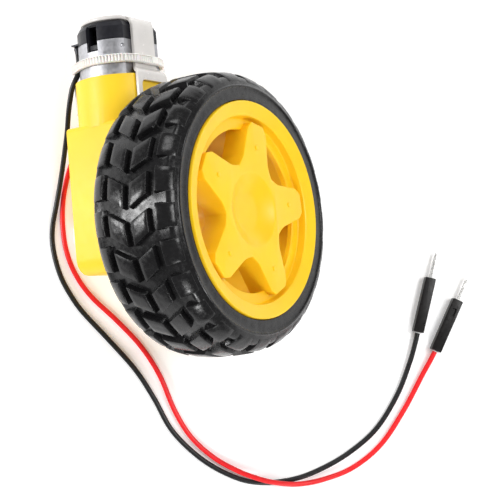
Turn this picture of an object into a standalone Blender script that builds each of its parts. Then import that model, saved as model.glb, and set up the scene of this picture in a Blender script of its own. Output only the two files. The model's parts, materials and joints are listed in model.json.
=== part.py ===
"""Straight gear motor with a shaft out of both sides, its wheel, cable tie and leads.

The object lies on a table: it rests on the inner edge of the tyre's tread and on one long
edge of the gearbox, so the axle leans. Inside the leaning assembly, local X runs along the
axle towards the wheel, local Y runs from the axle towards the motor, and local Z points out
of the gearbox's narrow face.

Sizes are in millimetres and are multiplied by MM where meshes are made. Blender's unit is
the metre.
"""

import math

import bmesh
import bpy
from mathutils import Euler, Matrix, Vector

MM = 0.001

# Gearbox. The block is centred on the axle in X and Z.
BLOCK_HALF_THICK = 9.4
BLOCK_HALF_HIGH = 11.25
BLOCK_END = -11.2
BLOCK_TOP = 25.8
BLOCK_CORNER = 4.0
WALL = 1.5
COLLAR_RADIUS = 11.3
COLLAR_TOP = 37.1
COVER_FROM = 6.75
SEAM = 0.15
LUG_END = -16.2
LUG_HOLE_Y = -13.2
LUG_HALF_WIDE = 3.4
LUG_HALF_THICK = 1.5
MOUNT_HOLE_RADIUS = 1.5
MOUNT_HOLE_Y = 20.5
MOUNT_HOLE_SPACING = 17.5
PEG_Y = 11.5
PEG_RADIUS = 2.0
PEG_LONG = 2.0
SCREW_PLACES = ((-8.3, -8.3), (-8.3, 8.3), (16.5, -8.6), (16.5, 8.6))
HOOK_FROM, HOOK_TO = 31.0, 32.8
HOOK_HALF_WIDE, HOOK_HIGH = 2.6, 0.85
SCREW_HEAD_RADIUS, SCREW_HEAD_SUNK = 1.7, 1.3
SCREW_RADIUS = 0.85
SCREW_TIP = -1.2

# Motor: a 20 mm can with two flats. Its front face sits on the gearbox's bulkhead.
CAN_RADIUS = 10.0
CAN_FLAT = 7.55
CAN_WALL = 0.8
MOTOR_FROM = BLOCK_TOP + SEAM
CAN_TO = 46.2
MOTOR_TO = 51.1
FRONT_BOSS_RADIUS = 3.05
MOTOR_SHAFT_RADIUS = 1.0
BUSH_RADIUS = 2.0
SLOT_WIDE = 3.4
TERMINAL_Z = 6.45
MAGNET_FROM, MAGNET_TO = 28.5, 42.5
MAGNET_INNER, MAGNET_OUTER = 6.6, 9.0
ROTOR_RADIUS = 6.2
COMMUTATOR_RADIUS = 2.4

# Gaps: round a seated piece, round a running piece, and round a pressed piece.
FIT = 0.1
RUN = 0.06
PRESS = 0.05

# Gears: one module throughout, and every pair works at the same centre distance.
MODULE = 0.5
PINION_TEETH, CROWN_TEETH = 8, 28
SMALL_TEETH, LARGE_TEETH = 12, 34
MIDDLE_SMALL_TEETH, MIDDLE_LARGE_TEETH = 17, 29
CENTRE_DISTANCE = (SMALL_TEETH + LARGE_TEETH) * MODULE / 2
TOOTH_SHARE = 0.42
ADDENDUM = 0.75 * MODULE
DEDENDUM = 1.1 * MODULE
FLANK_SLOPE = math.tan(math.radians(20))
GEAR_PIN_RADIUS = 1.0

# Output shaft: 5.4 mm, with flats 3.7 mm apart at both ends.
SHAFT_RADIUS = 2.7
SHAFT_HALF_LONG = 18.2
SHAFT_FLAT = 1.85
SHAFT_FLAT_FROM = 11.5

# Wheel, on the axle's positive side. The tyre's rounding is (distance from its middle, radius).
TYRE_MIDDLE = 26.1
TYRE_ROUNDING = (
    (0.0, 33.9),
    (4.0, 33.8),
    (7.0, 33.4),
    (9.0, 32.8),
    (10.3, 32.0),
    (11.1, 31.2),
    (11.7, 30.0),
    (12.0, 29.0),
)
TYRE_CONTACT = TYRE_ROUNDING[4]
RIM_RADIUS = 25.85
RIM_INNER_FACE = 13.0
RIM_OUTER_FACE = 38.4
SPOKES = 5
SPOKE_TURN = math.radians(-12)
HUB_FROM = 10.4

# Strap, cable tie and leads.
STRAP_HALF_WIDE = 4.1
STRAP_LOOP_HALF_WIDE = 5.7
STRAP_THICK = 1.0
TIE_FROM, TIE_TO = 40.05, 42.15
TIE_THICK = 1.0
TIE_GAP = 0.27
TIE_STEPS = 96
LEAD_RADIUS = 0.675
LEAD_PLACE = (5.75, -8.47)
HOUSING_LONG, HOUSING_WIDE, HOUSING_HIGH = 14.8, 2.8, 2.7
PIN_WIDE, PIN_LONG, PIN_INSIDE = 0.64, 12.9, 6.0

# The lean that puts the tread's inner shoulder and the block's lower edge on one table.
LEAN = math.atan2(
    TYRE_CONTACT[1] - BLOCK_HALF_HIGH, TYRE_MIDDLE - TYRE_CONTACT[0] + BLOCK_HALF_THICK
)
AXLE_HEIGHT = BLOCK_HALF_THICK * math.sin(LEAN) + BLOCK_HALF_HIGH * math.cos(LEAN)

# Each lead's route: points (x, y, z) on the table, from the point under the axle's middle.
BLACK_ROUTE = (
    (-10.15, 46.5, 13.6),
    (-10.1, 44.3, 13.6),
    (-10.1, 42.3, 13.6),
    (-10.25, 40.5, 13.75),
    (-11.2, 38.7, 13.85),
    (-12.3, 36.6, 13.1),
    (-13.2, 33.5, 11.9),
    (-13.9, 30.4, 10.5),
    (-14.6, 26.6, 8.4),
    (-15.8, 21.6, 5.8),
    (-17.5, 14.8, 3.0),
    (-19.2, 8.6, 1.3),
    (-20.6, 3.3, 0.75),
    (-21.0, -1.0, 0.72),
    (-20.6, -5.4, 0.72),
    (-19.4, -10.5, 0.72),
    (-17.3, -15.3, 0.72),
    (-14.6, -19.8, 0.72),
    (-8.7, -27.3, 0.72),
    (-2.3, -35.8, 0.72),
    (2.0, -43.7, 0.72),
    (6.2, -52.8, 0.72),
    (13.3, -60.8, 0.72),
    (21.3, -66.1, 0.72),
    (28.1, -68.2, 0.72),
    (35.9, -68.2, 0.72),
    (42.9, -66.6, 0.72),
    (51.3, -63.0, 0.72),
    (59.6, -57.2, 0.72),
    (66.1, -48.8, 0.72),
    (70.3, -40.4, 1.0),
    (72.2, -35.4, 1.3),
    (73.0, -32.9, 1.35),
)
RED_ROUTE = (
    (-2.9, 46.5, 4.75),
    (-2.95, 44.3, 4.85),
    (-2.95, 42.3, 4.95),
    (-2.8, 40.5, 4.72),
    (-2.75, 38.7, 3.8),
    (-3.6, 36.7, 2.8),
    (-5.2, 33.5, 1.6),
    (-7.2, 30.4, 0.85),
    (-9.6, 27.4, 0.76),
    (-12.6, 23.0, 0.72),
    (-15.0, 18.0, 0.72),
    (-16.6, 13.2, 0.72),
    (-17.6, 8.4, 0.72),
    (-18.0, 2.8, 0.72),
    (-17.6, -3.4, 0.72),
    (-15.8, -9.6, 0.72),
    (-12.2, -15.8, 0.72),
    (-5.8, -23.0, 0.72),
    (-0.2, -30.1, 0.72),
    (4.0, -38.0, 0.72),
    (7.2, -47.6, 0.72),
    (11.0, -54.9, 0.72),
    (16.5, -60.7, 0.8),
    (22.2, -64.5, 1.4),
    (26.1, -66.4, 2.0),
    (30.0, -67.9, 2.15),
    (34.0, -68.9, 2.1),
    (38.0, -69.4, 1.6),
    (44.1, -69.0, 0.78),
    (52.4, -66.7, 0.72),
    (60.5, -61.4, 0.72),
    (67.4, -53.1, 0.72),
    (73.2, -44.3, 0.95),
    (76.0, -40.1, 1.3),
    (77.2, -38.2, 1.35),
)
ROUTE_STEP = 3.0
BLACK_HOUSING_AIM = (4.76, 14.11)
RED_HOUSING_AIM = (7.46, 13.18)

# Axes of a flat outline, and of the direction in which it is thickened.
ALONG_AXLE = Matrix(((0, 0, 1), (1, 0, 0), (0, 1, 0))).to_4x4()
ALONG_MOTOR = Matrix(((0, 1, 0), (0, 0, 1), (1, 0, 0))).to_4x4()


def clear_scene():
    for thing in list(bpy.data.objects):
        bpy.data.objects.remove(thing, do_unlink=True)


def add_collection(name, hidden=False):
    made = bpy.data.collections.new(name)
    made.hide_render = hidden
    bpy.context.scene.collection.children.link(made)
    return made


def add_material(name, colour, roughness, metallic=0.0):
    made = bpy.data.materials.new(name)
    made.use_nodes = True
    shader = made.node_tree.nodes["Principled BSDF"]
    shader.inputs["Base Color"].default_value = (*colour, 1)
    shader.inputs["Roughness"].default_value = roughness
    shader.inputs["Metallic"].default_value = metallic
    made.diffuse_color = (*colour, 1)
    return made


clear_scene()
PARTS = add_collection("gear_motor")
CUTTERS = add_collection("cutters", hidden=True)
YELLOW = add_material("yellow_plastic", (0.95, 0.62, 0.03), 0.35)
RUBBER = add_material("black_rubber", (0.02, 0.02, 0.022), 0.55)
STEEL = add_material("zinc_plated_steel", (0.62, 0.62, 0.63), 0.32, 1.0)
BRONZE = add_material("bush_bronze", (0.55, 0.38, 0.2), 0.45, 1.0)
FERRITE = add_material("ferrite", (0.08, 0.08, 0.085), 0.6)
COPPER = add_material("copper", (0.72, 0.35, 0.18), 0.3, 1.0)
WHITE = add_material("white_nylon", (0.88, 0.86, 0.82), 0.4)
BLACK = add_material("black_plastic", (0.03, 0.03, 0.035), 0.4)
CLEAR = add_material("milky_plastic", (0.75, 0.73, 0.7), 0.3)
RED = add_material("red_insulation", (0.75, 0.02, 0.03), 0.35)


# Helpers that make meshes. Each takes millimetres and returns a mesh in metres.
def scaled_mesh(builder):
    """Mesh of a bmesh whose sizes are millimetres."""
    bmesh.ops.remove_doubles(builder, verts=builder.verts, dist=1e-4)
    bmesh.ops.transform(builder, matrix=Matrix.Scale(MM, 4), verts=builder.verts)
    mesh = bpy.data.meshes.new("shape")
    builder.to_mesh(mesh)
    builder.free()
    return mesh


def evaluated_mesh(data, modifiers=()):
    """Bmesh of a temporary object that holds this data and these modifiers."""
    holder = bpy.data.objects.new("holder", data)
    bpy.context.scene.collection.objects.link(holder)
    for kind, settings in modifiers:
        modifier = holder.modifiers.new(kind.lower(), kind)
        for setting, value in settings.items():
            setattr(modifier, setting, value)
    graph = bpy.context.evaluated_depsgraph_get()
    mesh = bpy.data.meshes.new_from_object(holder.evaluated_get(graph))
    builder = bmesh.new()
    builder.from_mesh(mesh)
    bpy.data.objects.remove(holder, do_unlink=True)
    bpy.data.meshes.remove(mesh)
    return builder


def plate(outlines, low, high):
    """A flat outline, with holes for any further outlines, thick from low to high along local Z."""
    curve = bpy.data.curves.new("outline", "CURVE")
    curve.dimensions = "2D"
    curve.fill_mode = "BOTH"
    curve.extrude = (high - low) / 2
    for outline in outlines:
        spline = curve.splines.new("POLY")
        spline.points.add(len(outline) - 1)
        for point, (x, y) in zip(spline.points, outline):
            point.co = (x, y, 0, 1)
        spline.use_cyclic_u = True
    builder = evaluated_mesh(curve)
    bmesh.ops.translate(builder, vec=(0, 0, (high + low) / 2), verts=builder.verts)
    return scaled_mesh(builder)


def turned(profile, steps=32, ring=False):
    """A profile of (radius, height) points, down its outer side, turned about local Z."""
    wire = bpy.data.meshes.new("profile")
    count = len(profile)
    edges = [(i, i + 1) for i in range(count - 1)]
    if ring:
        edges.append((count - 1, 0))
    wire.from_pydata([(radius, 0, height) for radius, height in profile], edges, [])
    screw = {
        "steps": steps,
        "render_steps": steps,
        "use_merge_vertices": True,
        "merge_threshold": 1e-4,
    }
    return scaled_mesh(evaluated_mesh(wire, [("SCREW", screw)]))


def tube(outer, inner, low, high, steps=24):
    profile = [(outer, high), (outer, low), (inner, low), (inner, high)]
    return turned(profile, steps, ring=True)


def rod(radius, low, high, steps=24):
    return turned([(0, high), (radius, high), (radius, low), (0, low)], steps)


def box(low, high):
    builder = bmesh.new()
    bmesh.ops.create_cube(builder, size=1)
    low, high = Vector(low), Vector(high)
    bmesh.ops.scale(builder, vec=high - low, verts=builder.verts)
    bmesh.ops.translate(builder, vec=(high + low) / 2, verts=builder.verts)
    return scaled_mesh(builder)


def stacked(levels):
    """A solid through equal-length outlines at rising heights, each (height, outline)."""
    builder = bmesh.new()
    rings = [
        [builder.verts.new((x, y, height)) for x, y in outline] for height, outline in levels
    ]
    builder.faces.new(rings[0][::-1])
    builder.faces.new(rings[-1])
    for lower, upper in zip(rings, rings[1:]):
        count = len(lower)
        for i in range(count):
            j = (i + 1) % count
            builder.faces.new((lower[i], lower[j], upper[j], upper[i]))
    return scaled_mesh(builder)


# Outlines, as lists of points in millimetres.
def circle(radius, centre=(0, 0), steps=24):
    turns = [2 * math.pi * i / steps for i in range(steps)]
    return [(centre[0] + radius * math.cos(t), centre[1] + radius * math.sin(t)) for t in turns]


def rounded_box(low, high, corner_radii, steps=5):
    """Corner radii in the order low-low, high-low, high-high, low-high."""
    corners = ((low[0], low[1]), (high[0], low[1]), (high[0], high[1]), (low[0], high[1]))
    inward = ((1, 1), (-1, 1), (-1, -1), (1, -1))
    points = []
    for index, (corner, into, radius) in enumerate(zip(corners, inward, corner_radii)):
        centre = (corner[0] + into[0] * radius, corner[1] + into[1] * radius)
        start = math.pi * (1 + index / 2)
        for i in range(steps + 1):
            turn = start + math.pi / 2 * i / steps
            points.append(
                (centre[0] + radius * math.cos(turn), centre[1] + radius * math.sin(turn))
            )
    return points


def flatted_circle(radius, flat, steps=12):
    """A circle cut by two flats at plus and minus this distance in local Y."""
    reach = math.asin(flat / radius)
    turns = [-reach + 2 * reach * i / steps for i in range(steps + 1)]
    right = [(radius * math.cos(t), radius * math.sin(t)) for t in turns]
    return right + [(-x, -y) for x, y in right]


def can_outline(inset, steps=12):
    return flatted_circle(CAN_RADIUS - inset, CAN_FLAT - inset, steps)


def gear_outline(teeth, first=0.0):
    """Straight-flanked teeth; one tooth's middle is at the angle named first."""
    pitch_radius = teeth * MODULE / 2
    half = TOOTH_SHARE * math.pi * MODULE / 2
    root = pitch_radius - DEDENDUM
    tip = pitch_radius + ADDENDUM
    root_turn = (half + DEDENDUM * FLANK_SLOPE) / root
    tip_turn = (half - ADDENDUM * FLANK_SLOPE) / tip
    points = []
    for i in range(teeth):
        middle = first + 2 * math.pi * i / teeth
        corners = ((root, -root_turn), (tip, -tip_turn), (tip, tip_turn), (root, root_turn))
        for radius, turn in corners:
            points.append(
                (radius * math.cos(middle + turn), radius * math.sin(middle + turn))
            )
    return points


# Helpers that make and join objects.
def add_part(name, mesh, material, axes=Matrix.Identity(4), parent=None, smooth=None):
    part = bpy.data.objects.new(name, mesh)
    PARTS.objects.link(part)
    part.parent = parent or ASSEMBLY
    part.matrix_local = axes
    mesh.materials.clear()
    mesh.materials.append(material)
    if smooth is not None:
        mesh.shade_smooth()
        mesh.set_sharp_from_angle(angle=math.radians(smooth))
    return part


def combine(part, operation, mesh, axes=Matrix.Identity(4)):
    """Cuts this mesh from the part, or joins it on: it is a helper on the same parent."""
    helper = bpy.data.objects.new(f"{part.name}_{operation.lower()}", mesh)
    CUTTERS.objects.link(helper)
    helper.hide_render = True
    helper.display_type = "WIRE"
    helper.parent = part.parent
    helper.matrix_local = axes
    modifier = part.modifiers.new(operation.lower(), "BOOLEAN")
    modifier.operation = operation
    modifier.solver = "EXACT"
    modifier.object = helper
    return helper


def cut(part, mesh, axes=Matrix.Identity(4)):
    return combine(part, "DIFFERENCE", mesh, axes)


def join(part, mesh, axes=Matrix.Identity(4)):
    return combine(part, "UNION", mesh, axes)


def moved(axes, x=0.0, y=0.0, z=0.0):
    return Matrix.Translation(Vector((x, y, z)) * MM) @ axes


def add_empty(name, place=(0, 0, 0), turn=(0, 0, 0), parent=None):
    made = bpy.data.objects.new(name, None)
    PARTS.objects.link(made)
    made.empty_display_size = 0.01
    made.parent = parent
    made.location = Vector(place) * MM
    made.rotation_euler = Euler(turn)
    return made


# The objects' shared frames. The assembly leans about the table's Y; each moving group hangs on its axis.
ASSEMBLY = add_empty("assembly", (0, 0, AXLE_HEIGHT), (0, -LEAN, 0))
AXLE = add_empty("axle_axis", parent=ASSEMBLY)
COUNTERSHAFT = add_empty("gear_pin_axis", (0, CENTRE_DISTANCE, 0), parent=ASSEMBLY)
ROTOR = add_empty("motor_axis", parent=ASSEMBLY)
TABLE = add_empty("table")


def block_outline(inset=0.0):
    """The gearbox's large face, as (along the motor, across)."""
    end = max(BLOCK_CORNER - inset, 0.6)
    top = max(1.2 - inset, 0.6)
    low = (BLOCK_END + inset, -BLOCK_HALF_HIGH + inset)
    high = (BLOCK_TOP - inset, BLOCK_HALF_HIGH - inset)
    return rounded_box(low, high, (end, top, top, end), 4)


def through_holes(part, low, high):
    """The output shaft's bore and the two mounting holes, along the axle."""
    cut(part, rod(SHAFT_RADIUS + FIT, low, high, 32), ALONG_AXLE)
    for side in (-1, 1):
        place = moved(ALONG_AXLE, y=MOUNT_HOLE_Y, z=side * MOUNT_HOLE_SPACING / 2)
        cut(part, rod(MOUNT_HOLE_RADIUS, low, high, 20), place)


def add_gearbox():
    base = add_part(
        "gearbox_base",
        plate([block_outline()], -BLOCK_HALF_THICK, COVER_FROM - SEAM),
        YELLOW,
        ALONG_AXLE,
    )
    collar = flatted_circle(COLLAR_RADIUS, BLOCK_HALF_THICK, 16)
    join(base, plate([collar], BLOCK_TOP - 0.9, COLLAR_TOP), ALONG_MOTOR)
    for side in (-1, 1):
        reach = (BLOCK_HALF_THICK - 0.4, BLOCK_HALF_THICK + HOOK_HIGH)
        low, high = sorted((side * reach[0], side * reach[1]))
        join(base, box((low, HOOK_FROM, -HOOK_HALF_WIDE), (high, HOOK_TO, HOOK_HALF_WIDE)))
    low, high = (LUG_END, -LUG_HALF_WIDE), (BLOCK_END + 1, LUG_HALF_WIDE)
    lug = rounded_box(low, high, (3.0, 0.1, 0.1, 3.0), 4)
    join(base, plate([lug], -LUG_HALF_THICK, LUG_HALF_THICK), ALONG_AXLE)
    join(
        base,
        rod(PEG_RADIUS, -BLOCK_HALF_THICK - PEG_LONG, -BLOCK_HALF_THICK + 0.5, 20),
        moved(ALONG_AXLE, y=PEG_Y),
    )
    # The room for the gears, left solid round the mounting holes and the screws.
    room = plate([block_outline(WALL)], -BLOCK_HALF_THICK + WALL, COVER_FROM + 1)
    room_helper = cut(base, room, ALONG_AXLE)
    bosses = [(MOUNT_HOLE_Y, side * MOUNT_HOLE_SPACING / 2, 2.7) for side in (-1, 1)]
    bosses += [(y, z, 1.7) for y, z in SCREW_PLACES]
    for y, z, radius in bosses:
        helper = rod(radius, -BLOCK_HALF_THICK - 1, COVER_FROM + 2, 20)
        cut(room_helper, helper, moved(ALONG_AXLE, y=y, z=z))
    # The cover's place, the motor's seat, and the opening for the pinion.
    low, high = (COVER_FROM - SEAM, BLOCK_TOP - 2, -12), (BLOCK_HALF_THICK + 1, BLOCK_TOP + SEAM, 12)
    cut(base, box(low, high))
    cut(base, plate([can_outline(-FIT)], BLOCK_TOP, COLLAR_TOP + 1), ALONG_MOTOR)
    cut(base, rod(FRONT_BOSS_RADIUS + FIT, BLOCK_TOP - 4, BLOCK_TOP + 1), ALONG_MOTOR)
    cut(base, rod(MOUNT_HOLE_RADIUS, -3, 3, 20), moved(ALONG_AXLE, y=LUG_HOLE_Y))
    through_holes(base, -BLOCK_HALF_THICK - 1, COVER_FROM + 1)
    pin_seat = rod(GEAR_PIN_RADIUS + PRESS, -BLOCK_HALF_THICK + 0.5, 0, 16)
    cut(base, pin_seat, moved(ALONG_AXLE, y=CENTRE_DISTANCE))
    for y, z in SCREW_PLACES:
        hole = rod(SCREW_RADIUS + FIT, SCREW_TIP - 0.8, COVER_FROM + 1, 12)
        cut(base, hole, moved(ALONG_AXLE, y=y, z=z))

    lid = plate([block_outline()], COVER_FROM, BLOCK_HALF_THICK)
    cover = add_part("gearbox_cover", lid, YELLOW, ALONG_AXLE)
    through_holes(cover, COVER_FROM - 1, BLOCK_HALF_THICK + 1)
    pin_seat = rod(GEAR_PIN_RADIUS + PRESS, COVER_FROM - 1, COVER_FROM + 1, 16)
    cut(cover, pin_seat, moved(ALONG_AXLE, y=CENTRE_DISTANCE))
    for y, z in SCREW_PLACES:
        place = moved(ALONG_AXLE, y=y, z=z)
        cut(cover, rod(SCREW_RADIUS + 0.25, COVER_FROM - 1, BLOCK_HALF_THICK + 1, 12), place)
        sunk = BLOCK_HALF_THICK - SCREW_HEAD_SUNK
        cut(cover, rod(SCREW_HEAD_RADIUS + 0.2, sunk, BLOCK_HALF_THICK + 1, 16), place)


def add_screws():
    seat = BLOCK_HALF_THICK - SCREW_HEAD_SUNK + SEAM
    profile = [
        (0, seat + 1.1),
        (SCREW_HEAD_RADIUS - 0.5, seat + 1.1),
        (SCREW_HEAD_RADIUS, seat + 0.6),
        (SCREW_HEAD_RADIUS, seat),
        (SCREW_RADIUS, seat),
        (SCREW_RADIUS, SCREW_TIP + 1.0),
        (0.2, SCREW_TIP),
        (0, SCREW_TIP),
    ]
    for index, (y, z) in enumerate(SCREW_PLACES):
        place = moved(ALONG_AXLE, y=y, z=z)
        screw = add_part(f"cover_screw_{index + 1}", turned(profile, 16), STEEL, place, smooth=40)
        for across in ((0.9, 0.2), (0.2, 0.9)):
            recess = box((-across[0], -across[1], seat + 0.45), (*across, seat + 2))
            cut(screw, recess, place)


def add_motor_body():
    drum = plate([can_outline(0)], MOTOR_FROM, CAN_TO)
    can = add_part("motor_can", drum, STEEL, ALONG_MOTOR, smooth=30)
    join(can, rod(FRONT_BOSS_RADIUS, MOTOR_FROM - 1.5, MOTOR_FROM + 0.4), ALONG_MOTOR)
    cut(can, plate([can_outline(CAN_WALL)], MOTOR_FROM + CAN_WALL, CAN_TO + 1), ALONG_MOTOR)
    cut(can, rod(BUSH_RADIUS + PRESS, MOTOR_FROM - 3, MOTOR_FROM + 3), ALONG_MOTOR)
    for side in (-1, 1):
        notch = sorted((side * (CAN_RADIUS - 2), side * (CAN_RADIUS + 1)))
        half = SLOT_WIDE / 2
        cut(can, box((-half, CAN_TO - 2.5, notch[0]), (half, CAN_TO + 1, notch[1])))

    # The end bell: a rounded cap outside the can and a spigot inside it.
    cap_from = CAN_TO + FIT
    levels = [
        (cap_from, can_outline(0)),
        (MOTOR_TO - 1.6, can_outline(0)),
        (MOTOR_TO - 0.5, can_outline(0.6)),
        (MOTOR_TO, can_outline(1.5)),
    ]
    bell = add_part("motor_end_bell", stacked(levels), BLACK, ALONG_MOTOR, smooth=30)
    join(bell, plate([can_outline(CAN_WALL + FIT)], CAN_TO - 2.0, cap_from + 0.5), ALONG_MOTOR)
    cut(bell, plate([can_outline(2.4)], CAN_TO - 4, MOTOR_TO - 1.5), ALONG_MOTOR)
    cut(bell, rod(BUSH_RADIUS + PRESS, MOTOR_TO - 3, MOTOR_TO + 1), ALONG_MOTOR)
    for side in (-1, 1):
        depth = sorted((side * (CAN_RADIUS - 0.95), side * (CAN_RADIUS + 1)))
        half = SLOT_WIDE / 2
        cut(bell, box((-half, cap_from - 1, depth[0]), (half, MOTOR_TO - 0.9, depth[1])))
        middle = side * TERMINAL_Z
        cut(bell, box((-9, 46.75, middle - 1.25), (-4, 47.45, middle + 1.25)))

    for name, low in (("front_bush", MOTOR_FROM - 1.4), ("rear_bush", MOTOR_TO - 1.5)):
        ring = tube(BUSH_RADIUS, MOTOR_SHAFT_RADIUS + RUN, low, low + 1.5)
        add_part(name, ring, BRONZE, ALONG_MOTOR)


def arc_outline(inner, outer, middle, half, steps=10):
    turns = [middle - half + 2 * half * i / steps for i in range(steps + 1)]
    inside = [(inner * math.cos(t), inner * math.sin(t)) for t in turns]
    outside = [(outer * math.cos(t), outer * math.sin(t)) for t in reversed(turns)]
    return inside + outside


def add_magnets():
    for name, middle in (("magnet_upper", 0), ("magnet_lower", math.pi)):
        arc = arc_outline(MAGNET_INNER, MAGNET_OUTER, middle, math.radians(44))[::-1]
        add_part(name, plate([arc], MAGNET_FROM, MAGNET_TO), FERRITE, ALONG_MOTOR, smooth=30)


def add_terminals():
    """Each terminal is a tab through the end bell and a spring leaf on the commutator."""
    for name, side in (("black_lead_terminal", 1), ("red_lead_terminal", -1)):
        middle = side * TERMINAL_Z
        tab = box((-8.9, 46.9, middle - 1.05), (-4.6, 47.3, middle + 1.05))
        terminal = add_part(name, tab, COPPER)
        leaf = [(5.3, -4.9), (5.7, -4.7), (1.9, 3.0), (1.5, 3.0)]
        if side < 0:
            leaf = [(-x, y) for x, y in reversed(leaf)]
        join(terminal, plate([leaf], 45.6, 47.2), ALONG_MOTOR)


def add_rotor():
    shaft = rod(MOTOR_SHAFT_RADIUS, 17.7, MOTOR_TO - 0.4, 20)
    add_part("motor_shaft", shaft, STEEL, ALONG_MOTOR, ROTOR)
    bore = circle(MOTOR_SHAFT_RADIUS + PRESS, steps=20)[::-1]
    pinion = plate([gear_outline(PINION_TEETH), bore], 17.9, 23.4)
    add_part("motor_pinion", pinion, WHITE, ALONG_MOTOR, ROTOR)
    commutator = tube(COMMUTATOR_RADIUS, MOTOR_SHAFT_RADIUS + PRESS, 44.6, 48.6)
    add_part("commutator", commutator, COPPER, ALONG_MOTOR, ROTOR)
    # Three poles: a hub, three arms and three shoes.
    outline = []
    for pole in range(3):
        middle = 2 * math.pi * pole / 3
        shoe = math.radians(48)
        arm = 1.1
        outline.append(polar(2.6, middle - math.radians(45)))
        outline.append(turned_point(2.9, -arm, middle))
        outline.append(turned_point(5.0, -arm, middle))
        outline.append(polar(5.3, middle - shoe))
        for i in range(9):
            outline.append(polar(ROTOR_RADIUS, middle - shoe + 2 * shoe * i / 8))
        outline.append(polar(5.3, middle + shoe))
        outline.append(turned_point(5.0, arm, middle))
        outline.append(turned_point(2.9, arm, middle))
    core = plate([outline, bore], MAGNET_FROM + 1, MAGNET_TO - 1)
    add_part("armature_core", core, STEEL, ALONG_MOTOR, ROTOR)
    for pole in range(3):
        middle = 2 * math.pi * pole / 3
        turn = Matrix.Rotation(middle, 4, "Z")
        coil = box((3.05, -2.0, MAGNET_FROM + 0.2), (4.25, 2.0, MAGNET_TO - 0.2))
        winding = add_part(f"winding_{pole + 1}", coil, COPPER, ALONG_MOTOR @ turn, ROTOR)
        gap = box((2.5, -1.2, MAGNET_FROM + 0.9), (5.5, 1.2, MAGNET_TO - 0.9))
        cut(winding, gap, ALONG_MOTOR @ turn)


def polar(radius, turn):
    return (radius * math.cos(turn), radius * math.sin(turn))


def turned_point(x, y, turn):
    return (
        x * math.cos(turn) - y * math.sin(turn),
        x * math.sin(turn) + y * math.cos(turn),
    )


def crown_ring(face, inner, outer, bottom):
    """Teeth on the face of a ring: its top rises and falls between tooth tips and roots."""
    radius = CROWN_TEETH * MODULE / 2
    half = TOOTH_SHARE * math.pi * MODULE / 2
    tip_turn = (half - ADDENDUM * FLANK_SLOPE) / radius
    root_turn = (half + DEDENDUM * FLANK_SLOPE) / radius
    stations = []
    for i in range(CROWN_TEETH):
        middle = 2 * math.pi * (i + 0.5) / CROWN_TEETH
        stations.append((middle - root_turn, face - DEDENDUM))
        stations.append((middle - tip_turn, face + ADDENDUM))
        stations.append((middle + tip_turn, face + ADDENDUM))
        stations.append((middle + root_turn, face - DEDENDUM))
    builder = bmesh.new()
    sections = []
    for turn, top in stations:
        corners = ((outer, top), (outer, bottom), (inner, bottom), (inner, top))
        sections.append([builder.verts.new((*polar(r, turn), z)) for r, z in corners])
    for here, after in zip(sections, sections[1:] + sections[:1]):
        for i in range(4):
            j = (i + 1) % 4
            builder.faces.new((here[i], here[j], after[j], after[i]))
    return scaled_mesh(builder)


def add_gears():
    small = gear_outline(SMALL_TEETH, math.pi / SMALL_TEETH)
    pin_bore = GEAR_PIN_RADIUS + 0.08
    shaft_bore = SHAFT_RADIUS + 0.08

    # Crown gear and its small gear, on the pin.
    face = -PINION_TEETH * MODULE / 2
    crown = add_part("crown_gear", rod(7.9, -4.0, -2.8, 56), WHITE, ALONG_AXLE, COUNTERSHAFT)
    join(crown, crown_ring(face, 6.3, 7.6, -3.4), ALONG_AXLE)
    join(crown, plate([small], -3.4, 0.05), ALONG_AXLE)
    join(crown, rod(2.2, -7.6, -3.4, 16), ALONG_AXLE)
    cut(crown, rod(pin_bore, -9, 3, 16), ALONG_AXLE)

    # Second gear, loose on the output shaft.
    large = plate([gear_outline(LARGE_TEETH)], -1.35, 0.05)
    second = add_part("second_gear", large, WHITE, ALONG_AXLE, AXLE)
    join(second, plate([gear_outline(MIDDLE_SMALL_TEETH)], -0.6, 4.6), ALONG_AXLE)
    join(second, rod(3.4, -7.6, -0.6, 32), ALONG_AXLE)
    cut(second, rod(shaft_bore, -9, 6, 32), ALONG_AXLE)

    # Third gear, loose on the pin above the crown gear.
    wide = plate([gear_outline(MIDDLE_LARGE_TEETH)], 3.0, 4.5)
    third = add_part("third_gear", wide, WHITE, ALONG_AXLE, COUNTERSHAFT)
    join(third, plate([small], 4.0, 6.5), ALONG_AXLE)
    join(third, rod(2.0, 0.3, 3.6, 16), ALONG_AXLE)
    cut(third, rod(pin_bore, -1, 8, 16), ALONG_AXLE)

    bore = circle(SHAFT_RADIUS + PRESS, steps=32)[::-1]
    output = plate([gear_outline(LARGE_TEETH), bore], 4.95, 6.45)
    add_part("output_gear", output, WHITE, ALONG_AXLE, AXLE)
    add_part("gear_pin", rod(GEAR_PIN_RADIUS, -8.8, 7.6, 16), STEEL, ALONG_AXLE, COUNTERSHAFT)


def add_output_shaft():
    length = rod(SHAFT_RADIUS, -SHAFT_HALF_LONG, SHAFT_HALF_LONG, 32)
    shaft = add_part("output_shaft", length, WHITE, ALONG_AXLE, AXLE, smooth=30)
    for side in (-1, 1):
        ends = sorted((side * SHAFT_FLAT_FROM, side * (SHAFT_HALF_LONG + 1)))
        for edge in (-1, 1):
            depth = sorted((edge * SHAFT_FLAT, edge * (SHAFT_RADIUS + 1)))
            cut(shaft, box((ends[0], -4, depth[0]), (ends[1], 4, depth[1])))
        hole = sorted((side * (SHAFT_HALF_LONG - 6), side * (SHAFT_HALF_LONG + 1)))
        cut(shaft, rod(0.9, *hole, 12), ALONG_AXLE)


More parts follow.
